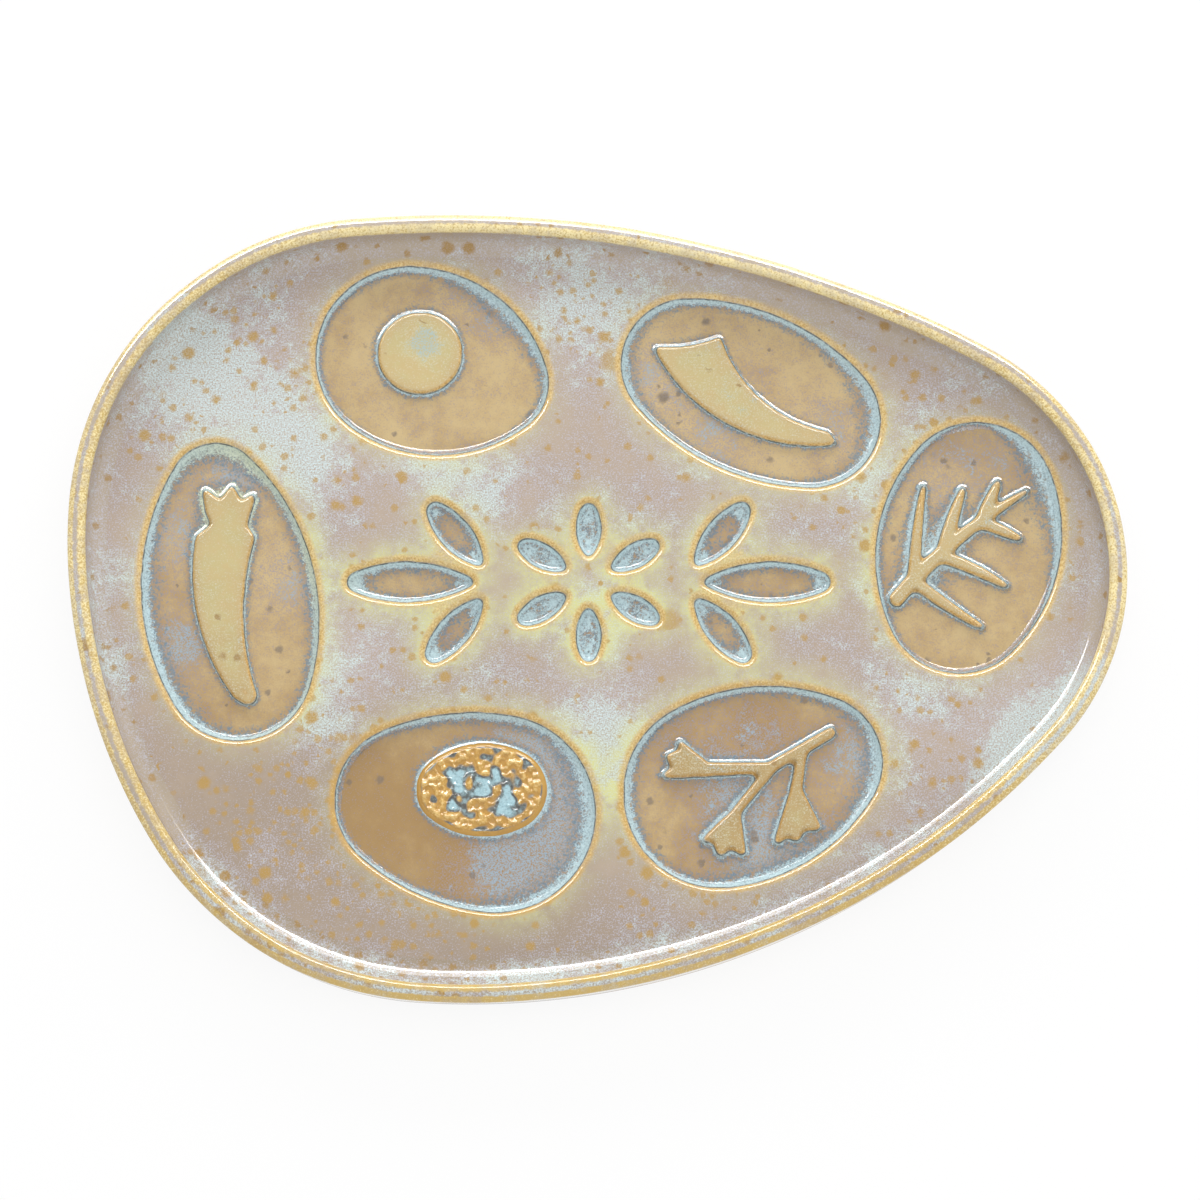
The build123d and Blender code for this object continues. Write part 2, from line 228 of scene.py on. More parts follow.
# How high the clay stands all over the plate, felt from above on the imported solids.
stacked = ["base_slab", "rim_wall", "relief_slab", "egg_yolk", "shank_bone", "bitter_root", "lettuce_leaf",
           "parsley_sprig", "charoset_mound", "charoset_crumbs"]
corners, triangles, owners = [], [], []
for number, node in enumerate(stacked):
    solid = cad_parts[node].data
    solid.calc_loop_triangles()
    first = len(corners)
    corners += [vert.co * 1000 for vert in solid.vertices]
    triangles += [[first + corner for corner in triangle.vertices] for triangle in solid.loop_triangles]
    owners += [number] * len(solid.loop_triangles)
solids = BVHTree.FromPolygons(corners, triangles, all_triangles=True)
height = np.full((count_y, count_x), floor)
owner = np.ones((count_y, count_x), int)
down = Vector((0, 0, -1))
for row in range(count_y):
    for column in range(count_x):
        above = Vector((low_x + pitch * column, low_y + pitch * row, 30))
        spot, _, index, _ = solids.ray_cast(above, down)
        if index is not None:
            height[row, column] = spot.z
            owner[row, column] = owners[index]


def softened(field, reach):
    """Gives a field blurred evenly over a reach in millimetres."""
    across = np.fft.fftfreq(count_y)[:, None]
    along = np.fft.rfftfreq(count_x)[None, :]
    fade = np.exp(-2 * (pi * reach / pitch) ** 2 * (across**2 + along**2))
    return np.fft.irfft2(np.fft.rfft2(field) * fade, s=field.shape)


def reading(field, x, y):
    """Gives a field's values at places in millimetres."""
    u = np.clip((np.asarray(x) - low_x) / pitch, 0, count_x - 1.001)
    v = np.clip((np.asarray(y) - low_y) / pitch, 0, count_y - 1.001)
    i, j = u.astype(int), v.astype(int)
    u, v = u - i, v - j
    lower = field[j, i] * (1 - u) + field[j, i + 1] * u
    upper = field[j + 1, i] * (1 - u) + field[j + 1, i + 1] * u
    return lower * (1 - v) + upper * v


# The rim's ground counts as floor, with the seam between it and the relief slab filled.
rim_ground = softened((owner == 1).astype(float), 0.8) > 0.12
height[rim_ground] = floor
owner[rim_ground] = 1
height = np.minimum(height, floor)
rounding = 0.7
glazed = softened(height, rounding)

# What share of a blurred mask is left at each distance from its edge, counted in reaches.
steps = np.linspace(-6, 6, 241)
shares = np.array([0.5 + 0.5 * erf(step / sqrt(2)) for step in steps])


def depth_in(mask):
    """Gives how far each place lies inside a mask, in millimetres, or outside it where negative."""
    depths = []
    for reach in (1.2, 4.0):
        depths.append(reach * np.interp(softened(mask.astype(float), reach), shares, steps))
    far = np.clip((np.abs(depths[0]) - 1.6) / 1.6, 0, 1)
    return depths[0] * (1 - far) + depths[1] * far


along_x = low_x + pitch * np.arange(count_x)[None, :]
along_y = low_y + pitch * np.arange(count_y)[:, None]


def zones(spots):
    """Gives soft round zones, each with its middle, reach and strength."""
    total = np.zeros((count_y, count_x))
    for x, y, reach, strength in spots:
        total += strength * np.exp(-((along_x - x) ** 2 + (along_y - y) ** 2) / (2 * reach**2))
    return total


# What the glaze follows: how far a place is inside the cut edge of a well and outside a sprig,
# how wide the glaze pools there, and where it runs light, goes hazy, blooms or is specked.
# Each spot in these lists is a middle, a reach in millimetres and a strength.
cut_edge = 9.7
bare_wells = np.where(owner > 2, seat, height)
gap = depth_in(bare_wells < cut_edge)
away = -depth_in(owner > 2)
lean_y, lean_x = np.gradient(softened(away, 0.6), pitch)
by_rim = softened(rim_ground.astype(float), 3.5)
wide_at_walls = [
    (-29, 105, 14, 1.8), (91, 67, 14, 1.8), (14, 83, 12, 0.8), (150, 43, 13, 3.0), (112, 50, 9, -0.4),
    (130, 56, 9, -1.0), (132, -18, 18, -0.9), (-125, 52, 12, 1.8), (-147, 2, 22, 1.0), (-98, 9, 20, 0.7),
    (-138, -32, 14, 0.9), (-4, -67, 14, 2.6), (-19, -97, 14, 1.6), (-39, -38, 14, 0.4),
    (-72, -62, 14, -0.5), (92, -56, 14, 1.6), (61, -91, 16, 1.4), (18, -66, 12, -0.5),
    (-86, 85, 14, -0.2), (-55, 57, 16, -0.5),
]
wide_at_sprigs = [
    (-60, 85, 14, 0.5), (-128, 37, 11, 1.2), (-118, 10, 14, 0.3), (111, 20, 11, 1.5), (-38, -66, 16, 0.7),
    (-20, -66, 9, 1.2), (52, -86, 12, 0.5), (42, -70, 12, 0.3),
]
floor_blooms = [
    (-122, 67, 18, 0.9), (-142, 92, 14, 0.5), (-138, 80, 10, 0.5), (-100, 54, 12, 1.0), (-3, 108, 18, 0.8),
    (34, 120, 16, 0.2), (-40, 43, 12, 0.7), (-83, -15, 12, 0.7), (-97, -32, 12, 0.8), (122, 78, 16, 0.2),
    (158, -32, 12, 0.8), (140, -46, 12, 0.8), (1, -39, 11, 0.9), (-156, 16, 10, 0.5), (104, -36, 12, 0.6),
    (90, 44, 10, 0.7), (-60, 52, 8, 0.8), (8, -58, 9, 0.9), (-60, -110, 40, -0.5), (-140, -60, 26, -0.5),
    (0, 0, 12, 0.5),
]
# Bloom along the near and left rim: partly real bloom grains, partly a painted reflection where the cove
# faces the window light.
rim_blooms_and_sheen = [
    (-130, -92, 22, 0.7), (-95, -112, 22, 0.7), (-60, -124, 24, 0.8), (-20, -120, 24, 0.6),
    (25, -112, 24, 0.5), (70, -95, 24, 0.4), (115, -68, 24, 0.4), (150, -30, 20, 0.4), (-162, -35, 22, 0.6),
    (-166, 20, 20, 0.3),
]
well_blooms = [
    (-12, -66, 13, 1.0), (-14, -84, 13, 1.0), (-34, -92, 10, 0.8), (-26, -52, 9, 0.7), (-49, 108, 8, 0.4),
    (-32, 100, 8, 0.5), (18, 80, 9, 0.7), (40, 60, 10, 0.4), (80, 62, 9, 0.6), (136, 50, 14, 0.3),
    (112, 42, 9, 0.4), (-141, 24, 9, 0.7), (-123, 46, 10, 0.9), (-104, 10, 9, 0.7), (-140, -14, 8, 0.6),
    (60, -88, 14, 0.9), (88, -52, 10, 0.8), (46, -62, 16, 0.6), (-1, 0, 34, 0.5),
]
well_tones = [
    (-62, 82, 24, 0.5), (46, 75, 30, 0.6), (128, 26, 22, 0.5), (-123, 5, 28, 0.3), (-66, -66, 20, -1.0),
    (-30, -72, 20, -0.4), (46, -62, 28, -0.5), (-20, -116, 22, -1.2), (-110, -75, 28, -0.8),
]
floor_hazes = [
    (-92, 22, 12, 0.7), (-62, 0, 24, 0.9), (0, 0, 24, 1.2), (62, 0, 24, 0.9), (91, 16, 12, 0.5),
    (0, -44, 12, 0.8), (5, -62, 10, 1.0), (-98, 60, 12, 0.5), (-104, -34, 10, 0.7), (130, -48, 12, 0.8),
    (104, -50, 10, 0.6), (-44, 52, 12, 0.4), (16, 48, 14, 0.4), (-20, -108, 12, 0.5), (100, 60, 14, 0.4),
]
well_creams = [(-123, 46, 13, 1.0), (-104, 12, 13, 0.9), (-110, -25, 12, 0.6), (-128, 34, 8, 0.8)]
speck_flocks = [
    (-130, 60, 20, 0.7), (-105, 95, 18, 0.7), (-82, 48, 12, 0.5), (0, 100, 16, 0.8), (-20, 116, 12, 0.5),
    (110, 78, 18, 0.9), (88, 45, 13, 0.6), (-115, -60, 24, 0.9), (-85, -95, 24, 1.0), (-52, -114, 18, 0.8),
    (30, -105, 16, 0.5), (105, -50, 16, 0.4), (-150, -20, 14, 0.6), (-30, -42, 14, 0.5), (165, 5, 14, 0.5),
]
# Painted light: beside a sprig the pale pool is made wider on the sides that face up and left, towards the
# light, on top of the listed widths.
lit_side_widening = np.clip(0.85 * lean_y - 0.5 * lean_x, 0, 1)
blooms = softened(np.where(gap < 0, zones(floor_blooms), zones(well_blooms)), 0.8)
around_wells = np.exp(-((gap / 6.5) ** 2)) * (0.3 + zones(floor_hazes))
marks = {
    "gap": gap,
    "away": away,
    "run": np.maximum(0.9 + zones(wide_at_walls), 0.45),
    "trail_and_lit_side": np.maximum(0.5 + 0.5 * lit_side_widening + zones(wide_at_sprigs), 0.4),
    "tone": zones(well_tones),
    "bloom": blooms + zones(rim_blooms_and_sheen) * by_rim,
    "haze": np.where(gap < 0, around_wells, zones(well_creams)),
    "flock": np.where(gap < 0, 0.3 + zones(speck_flocks), 0.15),
    "edge": np.zeros((count_y, count_x)),
}


def whole(bm):
    """Gives all of a shape, for a cut right through it."""
    return bm.verts[:] + bm.edges[:] + bm.faces[:]


def squared(bm, side):
    """Cuts a flat face into squares."""
    for axis, low in enumerate((low_x, low_y)):
        normal = Vector((axis == 0, axis == 1, 0))
        for step in range(int(-2 * low / side)):
            place = normal * (low + side * (step + 0.5))
            bmesh.ops.bisect_plane(bm, geom=whole(bm), plane_co=place, plane_no=normal)


def refined(bm, wanted, rounds):
    """Halves the squares around the fine shapes, once for each reach given."""
    for reach in rounds:
        near = softened(wanted.astype(float), reach)
        middles = np.array([face.calc_center_median()[:2] for face in bm.faces])
        chosen = reading(near, middles[:, 0], middles[:, 1]) > 0.04
        picked = [face for face, pick in zip(bm.faces, chosen) if pick]
        edges = dict.fromkeys(edge for face in picked for edge in face.edges)
        bmesh.ops.subdivide_edges(bm, edges=list(edges), cuts=1, use_grid_fill=True)


def lifted(bm, field):
    """Raises every vertex to a field's height."""
    verts = bm.verts[:]
    places = np.array([vert.co[:2] for vert in verts])
    for vert, level in zip(verts, reading(field, places[:, 0], places[:, 1])):
        vert.co.z = level


def marked(piece, **own):
    """Writes on a piece's vertices what the glaze follows, with some of it the piece's own."""
    mesh = piece.data
    places = np.zeros(len(mesh.vertices) * 3)
    mesh.vertices.foreach_get("co", places)
    places = places.reshape(-1, 3) * 1000
    for name, field in {**marks, **own}.items():
        if name not in mesh.attributes:
            values = reading(field, places[:, 0], places[:, 1])
            mesh.attributes.new(name, "FLOAT", "POINT").data.foreach_set("value", values)


def open_rims(bm):
    """Gives the edges that close nothing yet."""
    return [edge for edge in bm.edges if edge.is_boundary]


def creased(bm):
    """Makes the open edges sharp, and gives them."""
    edges = open_rims(bm)
    for edge in edges:
        edge.smooth = False
    return edges


# Stoneware glaze with rutile: a warm body, a cool bloom of fine grains, haze around the wells,
# gold where it breaks thin over an edge, a dark line under that, blue where it pools, and a
# painted shade line round the foot of every sprig.
colours = [
    "Body", "Shadow", "Bloom", "Gleam", "Haze", "Pool", "Cream", "Deep", "Fringe", "Edge", "Thin", "Iron",
    "Line",
]
shares_in = ["Bloom Base", "Bloom Share", "Haze Share", "Iron Share"]
glaze, taken, given = new_group(
    "rutile_glaze", {**dict.fromkeys(colours, "Color"), **dict.fromkeys(shares_in, "Float")},
    {"Color": "Color", "Roughness": "Float", "Height": "Float"},
)


def joined(operation, first, *others):
    """Gives one sum of several values of the glaze, one after the other."""
    for other in others:
        first = sums(glaze, operation, first, other)
    return first


def swing(value, strength):
    """Gives a cloudy value swung about nought."""
    return joined("MULTIPLY", joined("SUBTRACT", value, 0.5), strength)


read = {name: add(glaze, "ShaderNodeAttribute", attribute_name=name).outputs["Fac"] for name in marks}
fine = cloud(glaze, 1900, 3, 0.6)
grit = cloud(glaze, 1500, 3, 0.6, 7.7)
coarse = cloud(glaze, 520, 3, 0.6, 3.1)
middling = cloud(glaze, 170, 4, 0.65, 5.3)
drift = cloud(glaze, 26, 4, 0.6, 1.7)
dim = joined("ADD", 0.5, swing(middling, 0.7), swing(drift, 1.7), swing(fine, 0.5))
dim = joined("SUBTRACT", dim, joined("MULTIPLY", read["tone"], 0.5))
colour = blend(glaze, ramp(glaze, dim, 0.0, 1.0), taken["Body"], taken["Shadow"])
crowd = joined("ADD", taken["Bloom Base"], joined("MULTIPLY", read["bloom"], taken["Bloom Share"]))
crowd = joined("ADD", crowd, swing(drift, 2.0), swing(middling, 1.3), swing(coarse, 0.9))
crowd = joined("MINIMUM", crowd, 0.6)
grains = ramp(glaze, joined("ADD", fine, joined("MULTIPLY", crowd, 0.2)), 0.42, 0.76)
pale = blend(glaze, ramp(glaze, crowd, 0.1, 0.6), taken["Bloom"], taken["Gleam"])
colour = blend(glaze, joined("MULTIPLY", grains, 0.9), colour, pale)
hazy = joined("MULTIPLY", read["haze"], ramp(glaze, middling, 0.3, 0.6, 0.25, 1.0))
hazy = joined("MULTIPLY", hazy, ramp(glaze, fine, 0.35, 0.65, 1.0, 0.5))
colour = blend(glaze, joined("MULTIPLY", hazy, taken["Haze Share"]), colour, taken["Haze"])

# The specks of iron in three sizes, thick on the ground where they flock together.
thick = ramp(glaze, cloud(glaze, 40, 3, 0.6, 12.4), 0.35, 0.6, 0.4, 1.2)
flock = joined("MULTIPLY", read["flock"], thick, taken["Iron Share"])
flecks = ((290, 0.55, 0.7, 0.8), (135, 0.42, 0.7, 0.95), (44, 0.26, 0.35, 0.7))
spots = 0.0
for spacing, size, share, strength in flecks:
    fleck = add(glaze, "ShaderNodeGroup", {"Share": joined("MULTIPLY", flock, share)}, node_tree=specks)
    fleck.inputs["Spacing"].default_value = spacing
    fleck.inputs["Size"].default_value = size
    spots = joined("MAXIMUM", joined("MULTIPLY", fleck.outputs["Mask"], strength), spots)
spots = joined("MULTIPLY", spots, ramp(glaze, fine, 0.3, 0.7, 1.0, 0.75))
colour = blend(glaze, spots, colour, taken["Iron"])

# The pools, thick at the foot of a wall and beside a sprig, thinning out grain by grain.
scant = ramp(glaze, read["run"], 1.0, 0.5, -1.0, -0.4)
from_wall = joined("DIVIDE", joined("ADD", read["gap"], scant), read["run"])
# Beside a sprig the pool's width is partly painted light, wider on the sprig's lit sides.
from_sprig = joined("DIVIDE", read["away"], read["trail_and_lit_side"])
out = joined("MINIMUM", from_wall, from_sprig)
sunk = joined("MULTIPLY", ramp(glaze, read["gap"], 0.1, 0.5), ramp(glaze, read["away"], -0.4, 0.0))
fringe = joined("MULTIPLY", ramp(glaze, joined("ADD", out, swing(coarse, 1.5)), 4.0, 0.6), sunk)
colour = blend(glaze, joined("MULTIPLY", fringe, 0.55), colour, taken["Fringe"])
steel = joined("SUBTRACT", joined("ADD", grit, swing(coarse, 0.5)), joined("MULTIPLY", out, 0.1))
steel = ramp(glaze, steel, 0.16, 0.52)
colour = blend(glaze, joined("MULTIPLY", steel, sunk, 0.85), colour, taken["Deep"])
milk = joined("SUBTRACT", joined("ADD", fine, swing(coarse, 0.6)), joined("MULTIPLY", out, 0.34))
milk = ramp(glaze, milk, 0.05, 0.4)
inside = ramp(glaze, read["gap"], 0.0, 0.8)
milky = blend(glaze, joined("MULTIPLY", read["haze"], inside, 0.85), taken["Pool"], taken["Cream"])
milky = blend(glaze, ramp(glaze, grit, 0.55, 0.32, 0.0, 0.5), milky, taken["Deep"])
milky = blend(glaze, ramp(glaze, grit, 0.55, 0.75, 0.0, 0.5), milky, tint(226, 236, 236))
colour = blend(glaze, joined("MULTIPLY", milk, sunk, 0.9), colour, milky)

# The gold line along every edge, on the floor, on the sprigs and on the lip, the dark line under it, and a
# painted shade line round the foot of every sprig.
edge_out = joined("ADD", read["gap"], swing(coarse, 1.0))
gold = joined("MULTIPLY", ramp(glaze, edge_out, -2.7, -0.7), ramp(glaze, read["gap"], 0.35, 0.05))
edge_in = joined("ADD", read["away"], swing(coarse, 0.6))
gilt = joined("MULTIPLY", ramp(glaze, edge_in, -1.1, -0.4), ramp(glaze, read["away"], 0.1, -0.1))
worn = ramp(glaze, joined("ADD", read["edge"], swing(coarse, 0.9), swing(fine, 0.4)), 0.25, 0.65)
gold = joined("MAXIMUM", gold, gilt, worn)
lit = joined("ADD", grit, joined("MULTIPLY", read["tone"], 0.12))
golden = blend(glaze, ramp(glaze, lit, 0.38, 0.66), taken["Edge"], taken["Thin"])
gold = joined("MULTIPLY", gold, ramp(glaze, middling, 0.35, 0.6, 0.6, 0.95))
colour = blend(glaze, gold, colour, golden)
under_edge = joined("MULTIPLY", ramp(glaze, read["gap"], 0.15, 0.35), ramp(glaze, read["gap"], 0.75, 0.5))
# Painted shade: a dark line on the floor round the foot of every sprig, in the crease where it stands.
shade_at_sprig_foot = joined("MULTIPLY", ramp(glaze, read["away"], -0.1, 0.05), ramp(glaze, read["away"], 0.4, 0.2))
dark = joined("MAXIMUM", under_edge, shade_at_sprig_foot)
dark = joined("MULTIPLY", dark, ramp(glaze, coarse, 0.3, 0.6, 0.25, 0.85))
colour = blend(glaze, dark, colour, taken["Line"])
glaze.links.new(colour, given["Color"])
glaze.links.new(ramp(glaze, fine, 0.3, 0.7, 0.06, 0.12), given["Roughness"])
glaze.links.new(joined("ADD", joined("MULTIPLY", fine, 0.1), cloud(glaze, 170, 2)), given["Height"])


def glazed_in(name, **values):
    """Mixes a glaze from the shared one with its own colours and shares."""
    material = bpy.data.materials.new(name)
    material.use_nodes = True
    tree = material.node_tree
    shader = tree.nodes["Principled BSDF"]
    mix = add(tree, "ShaderNodeGroup", {}, node_tree=glaze)
    for label, value in values.items():
        mix.inputs[label.replace("_", " ")].default_value = value
    tree.links.new(mix.outputs["Color"], shader.inputs["Base Color"])
    tree.links.new(mix.outputs["Roughness"], shader.inputs["Roughness"])
    inputs = {"Height": mix.outputs["Height"], "Strength": 0.3, "Distance": 0.0001}
    ripple = add(tree, "ShaderNodeBump", inputs)
    tree.links.new(ripple.outputs["Normal"], shader.inputs["Normal"])
    shader.inputs["IOR"].default_value = 1.5
    return material


pooled = {
    "Pool": tint(194, 218, 222), "Cream": tint(220, 226, 190), "Deep": tint(98, 128, 148),
    "Fringe": tint(164, 130, 92),
}
well_glaze = glazed_in(
    "well_glaze", Body=tint(198, 174, 128), Shadow=tint(162, 130, 82), Bloom=tint(152, 144, 154),
    Gleam=tint(150, 174, 194), Edge=tint(196, 150, 72), Thin=tint(232, 200, 128), Iron=tint(120, 108, 96),
    Line=tint(70, 72, 66), Bloom_Base=-0.35, Bloom_Share=1.05, Haze_Share=0.0, Iron_Share=0.6, **pooled,
)

base = drawn_round([(0.8, seat)], 2.5, closed=False)
bmesh.ops.contextual_create(base, geom=base.edges[:])
squared(base, 3.2)
foot_line = (glazed > 7.03) & (glazed < 8.4)
refined(base, foot_line, (2.0, 1.0, 0.42))
under = softened((glazed < 7.6).astype(float), 1.2)
lifted(base, seat + np.clip(glazed - seat, 0, climb) * np.clip(2 * under, 0, 1))
creased(base)
for level, inset in ((4.4, 0.0), (3.5, 0.35), (2.8, 0.75), (2.5, 0.9)):
    lower = bmesh.ops.extrude_edge_only(base, edges=open_rims(base))["geom"]
    for vert in lower:
        if isinstance(vert, bmesh.types.BMVert):
            vert.co = (vert.co + inward(vert.co) * inset).xy.to_3d() + Vector((0, 0, level))
underside = bmesh.ops.contextual_create(base, geom=creased(base))["faces"]
for face in underside:
    face.material_index = 1
bmesh.ops.recalc_face_normals(base, faces=base.faces)
base_sheet = fired(base, "base_sheet", well_glaze, bare_clay)
marked(base_sheet)
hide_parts("base_slab")
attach(base_sheet, "root")

# Rim wall: a strip of the same clay stood on the edge of the base slab and luted on,
# its inside coved down to the floor with a wet finger. The lip is wavy from the hand,
# and the glaze breaks gold along both its edges and along the foot of the outside.
lip_width = 6.0
rim_top = 21.0
outer_reach, outer_drop = 2.9, 1.75
inner_round = 1.9
lip_level = rim_top - 0.05
cove = 5.8
rim_section = [(0.8, seat), (0.62, 9.0), (0.45, 11.5), (0.3, 14.0), (0.15, 16.5), (0.03, 18.5)]
rim_edge = [0.8, 0.45, 0.35, 0.35, 0.35, 0.45]
for step, bare in enumerate((0.5, 0.8, 1.0, 1.0, 0.8, 0.3, 0.2)):
    angle = pi - radians(15 * step)
    rise = outer_drop * sin(angle)
    rim_section.append((outer_reach + outer_reach * cos(angle), lip_level - outer_drop + rise))
    rim_edge.append(bare)
rim_section += [(3.5, rim_top)]
rim_edge += [0.5]
for step, bare in enumerate((0.7, 0.9, 1.0, 1.0, 1.0, 0.8, 0.5)):
    angle = radians(90 - 15 * step)
    rise = inner_round * sin(angle)
    rim_section.append((lip_width - inner_round + inner_round * cos(angle), lip_level - inner_round + rise))
    rim_edge.append(bare)
rim_section += [(lip_width, 18.2), (lip_width, 17.0)]
rim_edge += [0.15, 0.0]
cove_start = len(rim_section)
for step in range(17):
    angle = radians(180 + 90 / 16 * step)
    rim_section.append((lip_width + cove + cove * cos(angle), floor + cove + cove * sin(angle)))
    rim_edge.append(0.0)
rim_section.append((lip_width + cove, seat))
rim_edge.append(0.0)
foot_pull = [max(0, step - cove_start) / 16 for step in range(len(rim_section))]
foot_pull[-1] = 0.0

rim_glaze = glazed_in(
    "rim_glaze", Body=tint(180, 166, 148), Shadow=tint(160, 145, 124), Bloom=tint(194, 194, 210),
    Gleam=tint(208, 224, 228), Edge=tint(200, 168, 92), Thin=tint(244, 228, 172), Iron=tint(164, 128, 60),
    Bloom_Base=0.0, Bloom_Share=0.75, Haze_Share=0.0, Iron_Share=0.9,
)
rim = drawn_round(rim_section, 2.0, layers={"edge": rim_edge, "pull": foot_pull})
pull = rim.verts.layers.float["pull"]
for vert in rim.verts:
    towards = inward(vert.co)
    share = min(max((vert.co.z - 12) / 8, 0), 1)
    sway = noise.noise(vert.co / 38) * 0.35 * share
    rise = noise.noise(vert.co / 31 + Vector((9, 3, 5))) * 0.4 * share
    near = min(max((towards.y - 0.45) / 0.45, 0), 1) * min(max((100 - vert.co.x) / 80, 0), 1)
    vert.co += towards * (sway + 3.2 * near * vert[pull] ** 1.5) + Vector((0, 0, rise))
rim.verts.layers.float.remove(pull)
rim_strip = fired(rim, "rim_strip", rim_glaze)
nowhere = np.full((count_y, count_x), 20.0)
# Painted light and shade on the rim: its glaze is made darker along the near side and lighter round the far
# side and the ends, as the light from behind falls on it.
lip_light_and_shade = [
    (-90, -115, 40, -1.2), (0, -125, 40, -1.2), (90, -95, 40, -0.9), (170, 10, 30, 0.7), (60, 115, 50, 0.9),
    (-60, 135, 40, 0.9), (-178, 20, 30, 0.3),
]
marked(rim_strip, gap=-nowhere, away=nowhere, tone=zones(lip_light_and_shade))
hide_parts("rim_wall")
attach(rim_strip, "root")

# Relief slab: a thinner sheet laid inside the rim, with the six wells and the ornament
# cut through it while the clay is soft, so their walls slope. The glaze rounds every
# cut edge, breaks gold on it and goes hazy yellow-green around it.
floor_glaze = glazed_in(
    "floor_glaze", Body=tint(180, 163, 146), Shadow=tint(160, 143, 125), Bloom=tint(194, 194, 212),
    Gleam=tint(208, 226, 230), Haze=tint(208, 208, 146), Edge=tint(196, 156, 84), Thin=tint(226, 200, 138),
    Iron=tint(180, 144, 70), Line=tint(70, 68, 56), Bloom_Base=0.0, Bloom_Share=0.75, Haze_Share=0.95,
    Iron_Share=1.0, **pooled,
)
slab_height = softened(np.where((owner == 1) | (owner == 2), height, seat), rounding)
steep = np.hypot(*np.gradient(slab_height, pitch)) > 0.2
feather = 0.12


def stood_on(bm, level):
    """Cuts away what is thinner than a feather edge over a level, and walls the rest down to it."""
    lowest = (0, 0, level + feather)
    bmesh.ops.bisect_plane(bm, geom=whole(bm), plane_co=lowest, plane_no=(0, 0, 1), clear_inner=True)
    wall = bmesh.ops.extrude_edge_only(bm, edges=creased(bm))["geom"]
    for vert in wall:
        if isinstance(vert, bmesh.types.BMVert):
            vert.co.z = level
    edges = [edge for edge in wall if isinstance(edge, bmesh.types.BMEdge)]
    bmesh.ops.triangle_fill(bm, edges=edges, normal=(0, 0, -1), use_beauty=False)
    bmesh.ops.recalc_face_normals(bm, faces=bm.faces)


relief = drawn_round([(lip_width + cove, floor)], 2.5, closed=False)
bmesh.ops.contextual_create(relief, geom=relief.edges[:])
squared(relief, 3.2)
refined(relief, steep, (2.4, 1.2, 0.5))
lifted(relief, slab_height)
stood_on(relief, seat)
relief_sheet = fired(relief, "relief_sheet", floor_glaze)
marked(relief_sheet)
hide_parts("relief_slab")
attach(relief_sheet, "root")

# Sprigs: the yolk, bone, root, leaf and parsley, each cut from a scrap of slab and pressed
# onto the floor of its well with slip. The glaze runs off their edges and outlines them, with the
# pale outline painted wider on the lit sides and a painted shade line round each foot.
sprig_glaze = glazed_in(
    "sprig_glaze", Body=tint(198, 174, 124), Shadow=tint(168, 138, 86), Bloom=tint(208, 206, 182),
    Gleam=tint(160, 192, 208), Haze=tint(194, 190, 136), Edge=tint(182, 138, 70), Thin=tint(220, 186, 120),
    Iron=tint(150, 116, 66), Line=tint(74, 72, 60), Bloom_Base=-0.1, Bloom_Share=1.2, Haze_Share=0.5,
    Iron_Share=0.5, **pooled,
)
sprig_haze = np.clip((-away - 1.0) / 2.5, 0, 1)
yolk_cloud = zones([(-59, 92, 4.5, 1.0)])


def pressed(node, level, side, field):
    """Makes a raised shape out of the clay's height over one node, walled down to the level it lies on."""
    low, high = (corner * 1000 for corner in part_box(node))
    middle, span = (low + high) / 2, high - low
    bm = bmesh.new()
    margin = 3
    wide, deep = span.x + margin, span.y + margin
    bmesh.ops.create_grid(bm, x_segments=ceil(wide / side), y_segments=ceil(deep / side), size=1)
    bmesh.ops.scale(bm, vec=(wide / 2, deep / 2, 1), verts=bm.verts)
    bmesh.ops.translate(bm, vec=(middle.x, middle.y, 0), verts=bm.verts)
    lifted(bm, field)
    stood_on(bm, level)
    return bm


sprigs = {
    "yolk": "egg_yolk", "bone": "shank_bone", "root": "bitter_root", "leaf": "lettuce_leaf",
    "parsley": "parsley_sprig",
}
for name, node in sprigs.items():
    own = softened(np.where(owner == stacked.index(node), height, seat), 0.32)
    sprig = fired(pressed(node, seat, 0.4, own), name, sprig_glaze)
    marked(sprig, haze=sprig_haze, bloom=yolk_cloud)
    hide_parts(node)
    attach(sprig, "root")

# Charoset: a pat of slab with chopped crumbs of clay pressed onto it, lumpy and pitted,
# with blue glaze run into the pits and gold left on the lumps.
charoset_glaze = glazed_in(
    "charoset_glaze", Body=tint(202, 168, 102), Shadow=tint(166, 124, 64), Bloom=tint(200, 196, 170),
    Gleam=tint(210, 210, 190), Pool=tint(174, 208, 216), Deep=tint(110, 150, 164), Fringe=tint(140, 100, 54),
    Edge=tint(196, 152, 74), Thin=tint(232, 200, 130), Iron=tint(140, 100, 50), Line=tint(70, 50, 30),
    Bloom_Base=-0.9, Bloom_Share=0.0, Haze_Share=0.0, Iron_Share=0.4,
)
pat_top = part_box("charoset_mound")[1].z * 1000
heap = np.isin(owner, [stacked.index("charoset_mound"), stacked.index("charoset_crumbs")])
crumbled = softened((owner == stacked.index("charoset_crumbs")).astype(float), 0.9)
inner = depth_in(heap)
broken = np.zeros((count_y, count_x))
noise.seed_set(7)
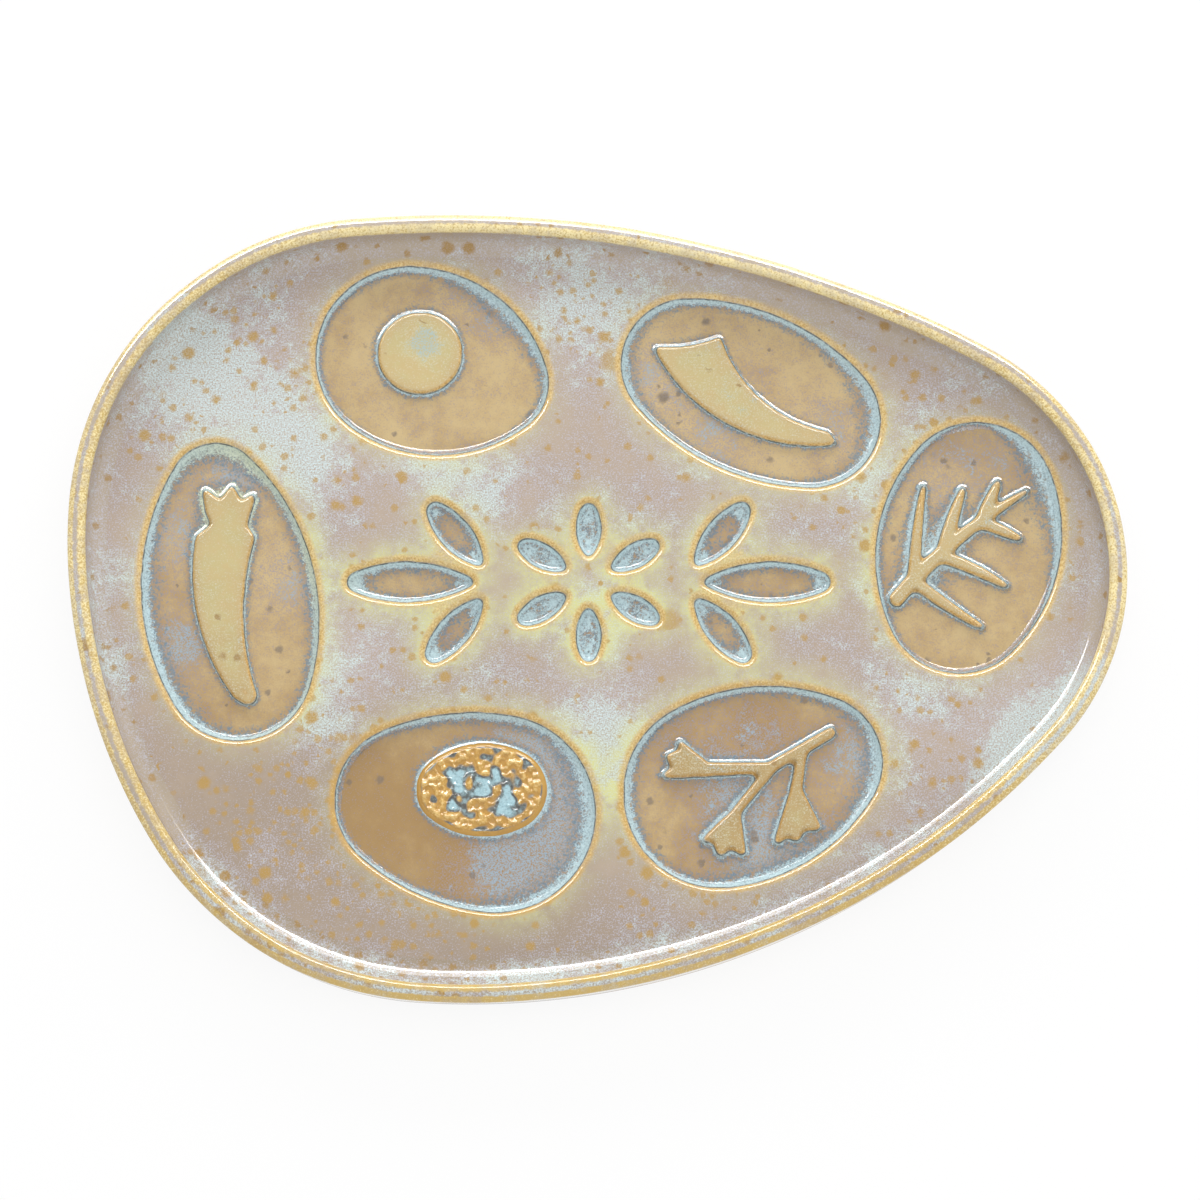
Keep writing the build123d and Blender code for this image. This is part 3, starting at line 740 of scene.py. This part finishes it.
for row, column in zip(*np.nonzero(inner > 1.0)):
    place = Vector((low_x + pitch * column, low_y + pitch * row, 0))
    shaken = place + noise.noise_vector(place / 4.5) * 0.9
    near_edge = min(max((6 - inner[row, column]) / 5, 0), 1)
    packed = 0.3 * reading(crumbled, shaken.x, shaken.y) + 0.3 * near_edge
    packed += 0.6 * noise.noise(place / 1.8)
    packed += 0.3 * noise.noise(place / 0.9)
    if packed > 0.13 or inner[row, column] < 1.7 + 0.9 * noise.noise(place / 2.7):
        broken[row, column] = 0.45 + 0.75 * min(max(packed, 0.1), 0.9) + 0.25 * noise.noise(place / 1.3)
lumps = softened(broken, 0.32)
pits = np.minimum(-depth_in(broken > 0.2), inner - 1.3)
pat = pressed("charoset_mound", seat, 0.5, softened(np.where(heap, np.minimum(height, pat_top), seat), 0.4))
pat = fired(pat, "pat", charoset_glaze)
crumbs = pressed("charoset_mound", pat_top - 0.3, 0.36, pat_top - 0.4 + 1.5 * lumps)
crumbs = fired(crumbs, "crumbs", charoset_glaze)
# Painted shade and light on the charoset: the glaze is darker brown low between the lumps and lighter gold
# on their tops, following the lumps' height.
for piece, node in ((pat, "charoset_mound"), (crumbs, "charoset_crumbs")):
    marked(piece, gap=pits + 0.3, run=nowhere / 5, away=nowhere, tone=3.5 * (lumps - 0.72))
    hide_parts(node)
    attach(piece, "root")

# Studio: a white table under soft light, with a long window light behind the plate,
# and the camera looking almost straight down over the near side.
bm = bmesh.new()
bmesh.ops.create_grid(bm, x_segments=1, y_segments=1, size=4000)


def seen_in(tree):
    """Gives 1 for what is seen, straight or in a reflection, and 0 for light that bounces."""
    rays = add(tree, "ShaderNodeLightPath").outputs
    mirrored = sums(tree, "MAXIMUM", rays["Is Glossy Ray"], rays["Is Transmission Ray"])
    return sums(tree, "MAXIMUM", rays["Is Camera Ray"], mirrored)


table_white = bpy.data.materials.new("table_white")
table_white.use_nodes = True
tree = table_white.node_tree
paint = add(tree, "ShaderNodeBsdfDiffuse", {"Color": (0.9, 0.9, 0.9, 1)}).outputs[0]
glow = add(tree, "ShaderNodeEmission", {"Color": (1, 1, 1, 1), "Strength": 1.0}).outputs[0]
share = sums(tree, "MULTIPLY", seen_in(tree), 0.88)
mixed = add(tree, "ShaderNodeMixShader", {0: share, 1: paint, 2: glow}).outputs[0]
tree.links.new(mixed, tree.nodes["Material Output"].inputs["Surface"])
table = fired(bm, "table", table_white)

scene = bpy.context.scene
world = bpy.data.worlds.new("studio")
scene.world = world
world.use_nodes = True
tree = world.node_tree
tree.nodes["Background"].inputs["Color"].default_value = (1, 1, 1, 1)
tree.links.new(ramp(tree, seen_in(tree), 0, 1, 0.57, 1.0), tree.nodes["Background"].inputs["Strength"])


def lamp(name, place, size, power):
    """Hangs an area light facing the plate."""
    light = bpy.data.lights.new(name, "AREA")
    light.shape = "RECTANGLE"
    light.size, light.size_y = size
    light.energy = power
    holder = bpy.data.objects.new(name, light)
    holder.location = place
    holder.rotation_euler = (-Vector(place)).to_track_quat("-Z", "Y").to_euler()
    scene.collection.objects.link(holder)
    return holder


lamp("wall_panel", (0, 1.35, 0.5), (2.4, 0.75), 22).visible_glossy = False
lamp("overhead", (0.3, 0.35, 1.7), (1.7, 1.7), 9).visible_glossy = False
lamp("front_fill", (0.2, -1.3, 0.9), (1.6, 0.8), 7).visible_glossy = False
lamp("window_bar", (-0.15, 1.1, 1.15), (2.2, 0.16), 36).visible_diffuse = False
lamp("window", (-0.1, 1.3, 1.0), (2.4, 0.8), 42).visible_diffuse = False

aim = Vector((0.0001, -0.0001, 0.010))
steepness = 78
distance = 1.25
picture_side = 1200
camera = bpy.data.objects.new("camera", bpy.data.cameras.new("camera"))
camera.location = aim + distance * Vector((0, -cos(radians(steepness)), sin(radians(steepness))))
camera.rotation_euler = (radians(90 - steepness), 0, 0)
camera.data.sensor_width = 36
camera.data.lens = 111.75
camera.data.shift_x = 2.5 / picture_side
camera.data.shift_y = 6 / picture_side
scene.collection.objects.link(camera)
scene.camera = camera
scene.view_settings.view_transform = "Standard"
